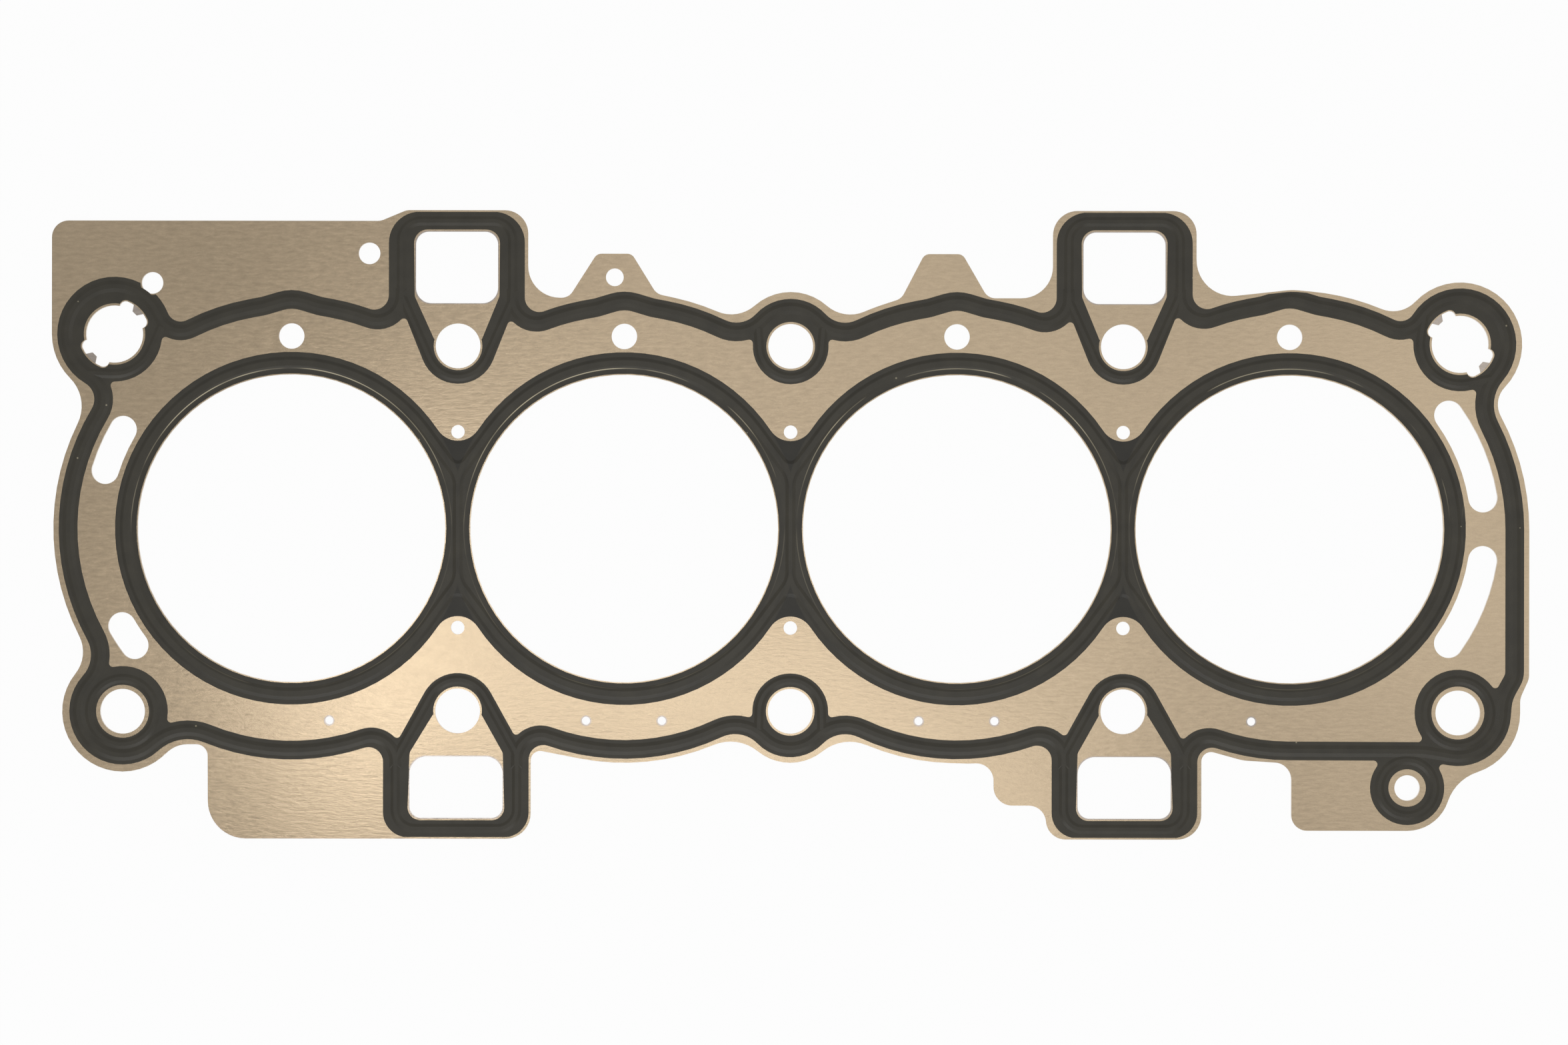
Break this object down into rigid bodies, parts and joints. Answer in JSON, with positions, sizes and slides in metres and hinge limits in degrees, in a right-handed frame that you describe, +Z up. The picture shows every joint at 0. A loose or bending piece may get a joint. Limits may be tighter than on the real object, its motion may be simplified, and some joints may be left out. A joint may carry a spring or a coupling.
{
  "type": "cylinder head gasket",
  "caption": "Multi-layer steel cylinder head gasket for an in-line four-cylinder engine, with printed rubber seals over the beads.",
  "frame": {"origin": "middle of the row of cylinder bores in plan, at the crest of the lower beads, which is the plane it rests on", "axes": "+X along the row of bores, +Y towards the side with the two upper windows, +Z up towards the cylinder head"},
  "size_m": [0.382, 0.1626, 0.0016],
  "materials": {
    "spring_steel": "satin rolled sheet with a warm tint",
    "centre_steel": "satin rolled sheet",
    "seal_coating": "thin printed film, dull with a faint sheen"
  },
  "bodies": {
    "root": {"upper_layer": "spring_steel", "centre_layer": "centre_steel", "lower_layer": "spring_steel", "upper_bore_coating": "seal_coating", "upper_seal_coating": "seal_coating", "lower_bore_coating": "seal_coating", "lower_seal_coating": "seal_coating"}
  },
  "joints": []
}
